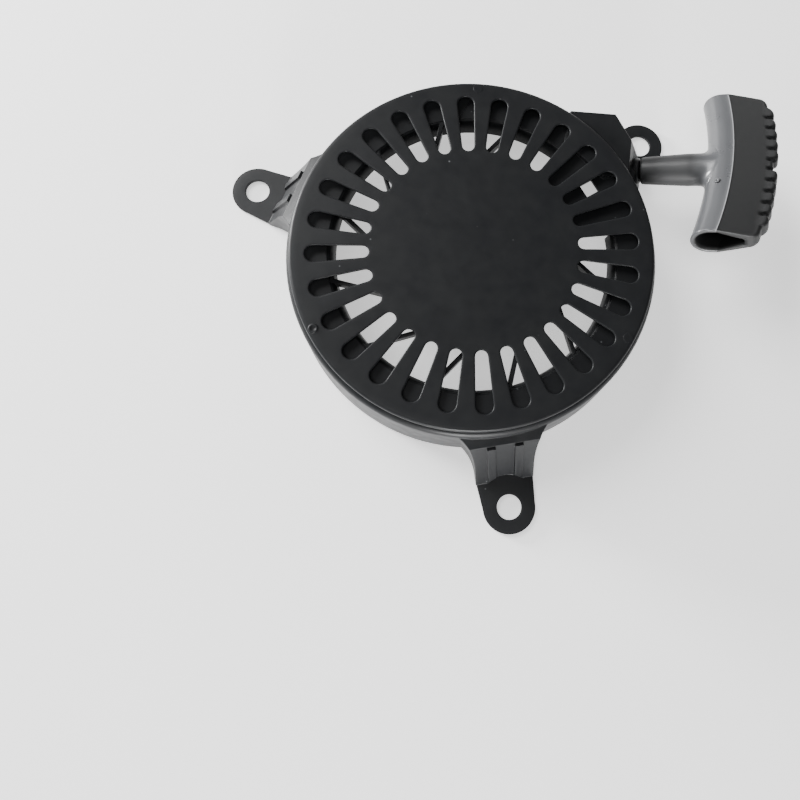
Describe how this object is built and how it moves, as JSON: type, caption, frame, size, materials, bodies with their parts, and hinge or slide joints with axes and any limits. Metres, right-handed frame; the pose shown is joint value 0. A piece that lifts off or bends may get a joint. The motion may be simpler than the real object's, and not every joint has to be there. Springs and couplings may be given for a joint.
{
  "type": "recoil starter",
  "caption": "Pull-cord recoil starter: slotted screen disc on a stamped steel housing with three lugs, sprung rope pulley with pawls, and a T-handle.",
  "frame": {"origin": "on the starter's axis, in the plane of the undersides of the three lugs", "axes": "+Z along the axis, away from the engine; +X the plan direction in which the rope is pulled"},
  "size_m": [0.2857, 0.2423, 0.0642],
  "materials": {
    "black_steel": "satin black enamel on stamped steel sheet",
    "bare_steel": "plain turned or rolled steel",
    "zinc_steel": "zinc plated steel",
    "spring_steel": "blued spring steel",
    "pulley_nylon": "moulded glass-filled nylon",
    "grip_plastic": "moulded dark grey plastic, glossy front and fine matt flats",
    "rope": "braided nylon starter rope"
  },
  "bodies": {
    "root": {"housing": "black_steel", "screen_disc": "black_steel", "screen_rivets": "black_steel", "centre_post": "bare_steel", "rope_guide": "black_steel", "rope_lead": "rope", "recoil_spring": "spring_steel", "centre_screw": "zinc_steel", "retaining_washer": "zinc_steel", "brake_spring": "spring_steel"},
    "pulley": {"pulley": "pulley_nylon", "spring_cover": "bare_steel", "rope_coil": "rope", "pulley_knot": "rope", "pawl_pins": "bare_steel", "pawl_spring_1": "spring_steel", "pawl_spring_2": "spring_steel"},
    "cam_plate": {"cam_plate": "zinc_steel"},
    "pawl_1": {"pawl_1": "pulley_nylon"},
    "pawl_2": {"pawl_2": "pulley_nylon"},
    "handle": {"handle_grip": "grip_plastic", "handle_washer": "zinc_steel", "handle_knot": "rope", "rope_tail": "rope"}
  },
  "joints": [
    {"name": "handle_pull", "type": "slide", "parent": "root", "child": "handle", "axis": [0.9225, 0, 0.3859], "range_m": [0, 1]},
    {"name": "pulley_spin", "type": "hinge", "parent": "root", "child": "pulley", "pos_m": [0, 0, 0], "axis": [0, 0, 1], "range_deg": [-1700, 0], "stiffness_Nm_per_rad": 0.012, "springref_deg": 1031.32},
    {"name": "cam_turn", "type": "hinge", "parent": "pulley", "child": "cam_plate", "pos_m": [0, 0, 0], "axis": [0, 0, 1], "range_deg": [0, 22]},
    {"name": "pawl_1_swing", "type": "hinge", "parent": "pulley", "child": "pawl_1", "pos_m": [0.02, 0, 0], "axis": [0, 0, 1], "range_deg": [0, 44]},
    {"name": "pawl_2_swing", "type": "hinge", "parent": "pulley", "child": "pawl_2", "pos_m": [-0.02, 0, 0], "axis": [0, 0, 1], "range_deg": [0, 44]}
  ],
  "couplings": [
    {"joint": "pulley_spin", "follows": "handle_pull", "rad_per_m": -28.6},
    {"joint": "pawl_1_swing", "follows": "cam_turn", "ratio": 2},
    {"joint": "pawl_2_swing", "follows": "cam_turn", "ratio": 2}
  ]
}
